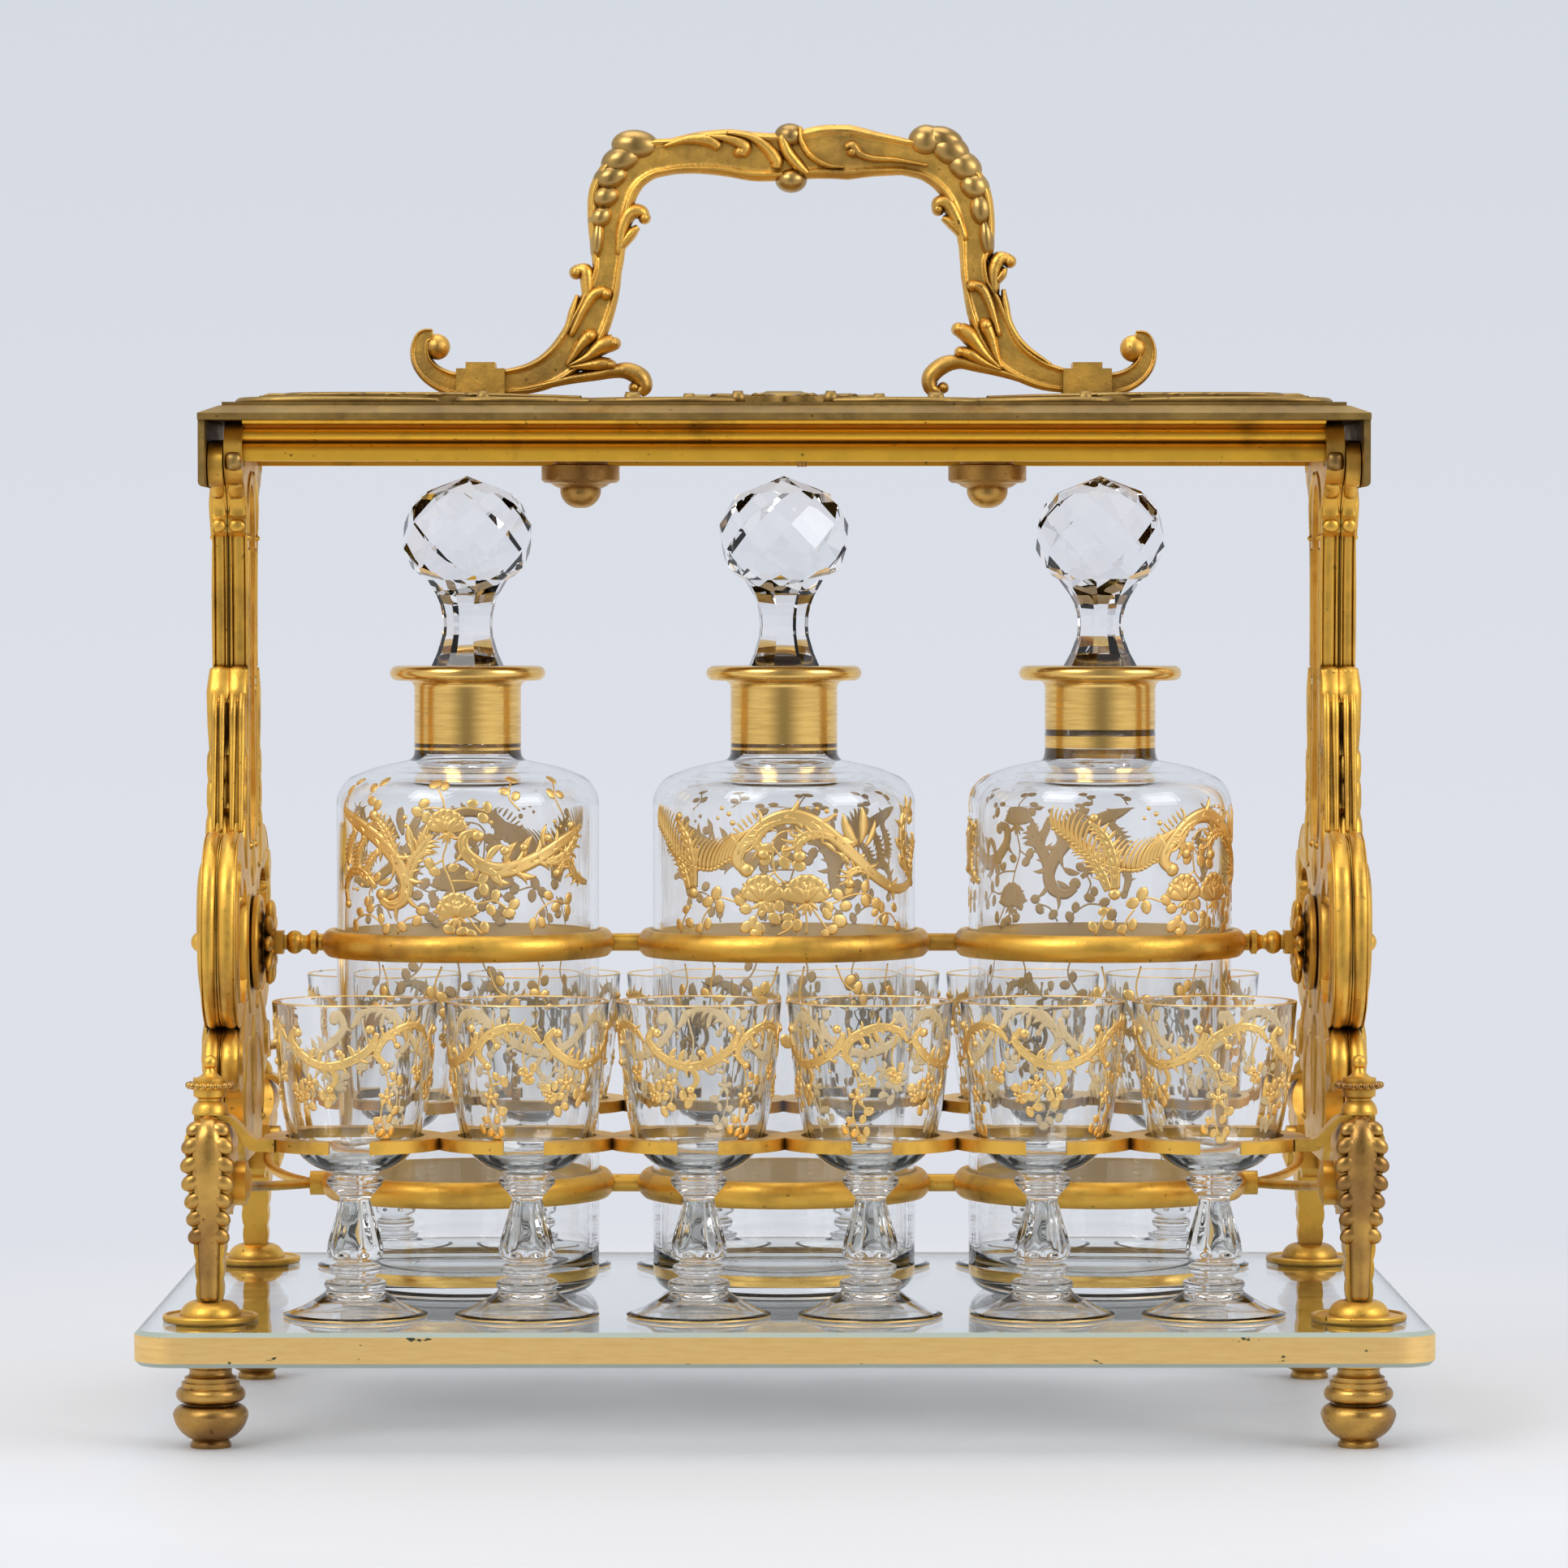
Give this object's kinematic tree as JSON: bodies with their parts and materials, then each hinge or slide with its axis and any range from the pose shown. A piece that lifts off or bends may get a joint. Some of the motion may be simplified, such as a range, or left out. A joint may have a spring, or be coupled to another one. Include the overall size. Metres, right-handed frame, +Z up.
{
  "type": "tantalus",
  "caption": "Portable liqueur stand: stoppered glass decanters and stemmed glasses in a gilt brass frame on a glass plate, under a swing-back lid with a carrying handle.",
  "frame": {"origin": "on the floor below the middle of the base plate", "axes": "+X along the length to the right, +Y from the front to the back, +Z up"},
  "size_m": [0.38, 0.222, 0.397],
  "materials": {
    "gilt_brass": "fire gilt, worn and toned",
    "patinated_brass": "gilt with brown patina",
    "plate_glass": "thick clear plate with a gilded edge",
    "decanter_glass": "clear glass with raised gold enamel",
    "cut_glass": "clear glass cut in facets",
    "blown_glass": "clear blown glass with gold enamel"
  },
  "bodies": {
    "stand": {"base_plate": "plate_glass", "foot_bolts": "gilt_brass", "bun_foot_front_left": "patinated_brass", "bun_foot_front_right": "patinated_brass", "bun_foot_rear_left": "patinated_brass", "bun_foot_rear_right": "patinated_brass", "foot_disc_front_left": "gilt_brass", "foot_disc_front_right": "gilt_brass", "foot_disc_rear_left": "gilt_brass", "foot_disc_rear_right": "gilt_brass", "leg_front_left": "gilt_brass", "leg_front_right": "gilt_brass", "leg_rear_left": "gilt_brass", "leg_rear_right": "gilt_brass", "fork_wires": "gilt_brass", "upper_ring_holder": "gilt_brass", "lower_ring_holder": "gilt_brass", "rack_front": "gilt_brass", "rack_rear": "gilt_brass", "finial_nuts": "gilt_brass", "outer_casting_right": "gilt_brass", "outer_casting_left": "gilt_brass", "rosette_right": "gilt_brass", "rosette_left": "gilt_brass", "pivot_pin_right": "gilt_brass", "pivot_pin_left": "gilt_brass", "ball_nut_right": "gilt_brass", "ball_nut_left": "gilt_brass"},
    "lid_frame": {"inner_casting_right": "gilt_brass", "inner_casting_left": "gilt_brass", "rail_front": "gilt_brass", "rail_rear": "gilt_brass", "lid_plate": "patinated_brass", "lid_apron_right": "patinated_brass", "lid_apron_left": "patinated_brass", "lid_mounts": "patinated_brass", "lid_knobs": "patinated_brass", "handle": "patinated_brass", "handle_clamp_left": "patinated_brass", "handle_clamp_right": "patinated_brass", "lid_screws": "patinated_brass"},
    "decanter_left_body": {"decanter_left": "decanter_glass"},
    "stopper_left_body": {"stopper_left": "cut_glass"},
    "decanter_middle_body": {"decanter_middle": "decanter_glass"},
    "stopper_middle_body": {"stopper_middle": "cut_glass"},
    "decanter_right_body": {"decanter_right": "decanter_glass"},
    "stopper_right_body": {"stopper_right": "cut_glass"},
    "glass_front_1_body": {"glass_front_1": "blown_glass"},
    "glass_front_2_body": {"glass_front_2": "blown_glass"},
    "glass_front_3_body": {"glass_front_3": "blown_glass"},
    "glass_front_4_body": {"glass_front_4": "blown_glass"},
    "glass_front_5_body": {"glass_front_5": "blown_glass"},
    "glass_front_6_body": {"glass_front_6": "blown_glass"},
    "glass_rear_1_body": {"glass_rear_1": "blown_glass"},
    "glass_rear_2_body": {"glass_rear_2": "blown_glass"},
    "glass_rear_3_body": {"glass_rear_3": "blown_glass"},
    "glass_rear_4_body": {"glass_rear_4": "blown_glass"},
    "glass_rear_5_body": {"glass_rear_5": "blown_glass"},
    "glass_rear_6_body": {"glass_rear_6": "blown_glass"}
  },
  "joints": [
    {"name": "lid_swing", "type": "hinge", "parent": "stand", "child": "lid_frame", "pos_m": [0, 0, 0.1448], "axis": [-1, 0, 0], "range_deg": [0, 95]},
    {"name": "decanter_left_lift", "type": "slide", "parent": "stand", "child": "decanter_left_body", "axis": [0, 0, 1], "range_m": [0, 0.006]},
    {"name": "stopper_left_lift", "type": "slide", "parent": "decanter_left_body", "child": "stopper_left_body", "axis": [0, 0, 1], "range_m": [0, 0.007]},
    {"name": "decanter_middle_lift", "type": "slide", "parent": "stand", "child": "decanter_middle_body", "axis": [0, 0, 1], "range_m": [0, 0.006]},
    {"name": "stopper_middle_lift", "type": "slide", "parent": "decanter_middle_body", "child": "stopper_middle_body", "axis": [0, 0, 1], "range_m": [0, 0.007]},
    {"name": "decanter_right_lift", "type": "slide", "parent": "stand", "child": "decanter_right_body", "axis": [0, 0, 1], "range_m": [0, 0.006]},
    {"name": "stopper_right_lift", "type": "slide", "parent": "decanter_right_body", "child": "stopper_right_body", "axis": [0, 0, 1], "range_m": [0, 0.007]},
    {"name": "glass_front_1_lift", "type": "slide", "parent": "stand", "child": "glass_front_1_body", "axis": [0, 0, 1], "range_m": [0, 0.0168]},
    {"name": "glass_front_2_lift", "type": "slide", "parent": "stand", "child": "glass_front_2_body", "axis": [0, 0, 1], "range_m": [0, 0.0168]},
    {"name": "glass_front_3_lift", "type": "slide", "parent": "stand", "child": "glass_front_3_body", "axis": [0, 0, 1], "range_m": [0, 0.0168]},
    {"name": "glass_front_4_lift", "type": "slide", "parent": "stand", "child": "glass_front_4_body", "axis": [0, 0, 1], "range_m": [0, 0.0168]},
    {"name": "glass_front_5_lift", "type": "slide", "parent": "stand", "child": "glass_front_5_body", "axis": [0, 0, 1], "range_m": [0, 0.0168]},
    {"name": "glass_front_6_lift", "type": "slide", "parent": "stand", "child": "glass_front_6_body", "axis": [0, 0, 1], "range_m": [0, 0.0168]},
    {"name": "glass_rear_1_lift", "type": "slide", "parent": "stand", "child": "glass_rear_1_body", "axis": [0, 0, 1], "range_m": [0, 0.0168]},
    {"name": "glass_rear_2_lift", "type": "slide", "parent": "stand", "child": "glass_rear_2_body", "axis": [0, 0, 1], "range_m": [0, 0.0168]},
    {"name": "glass_rear_3_lift", "type": "slide", "parent": "stand", "child": "glass_rear_3_body", "axis": [0, 0, 1], "range_m": [0, 0.0168]},
    {"name": "glass_rear_4_lift", "type": "slide", "parent": "stand", "child": "glass_rear_4_body", "axis": [0, 0, 1], "range_m": [0, 0.0168]},
    {"name": "glass_rear_5_lift", "type": "slide", "parent": "stand", "child": "glass_rear_5_body", "axis": [0, 0, 1], "range_m": [0, 0.0168]},
    {"name": "glass_rear_6_lift", "type": "slide", "parent": "stand", "child": "glass_rear_6_body", "axis": [0, 0, 1], "range_m": [0, 0.0168]}
  ]
}
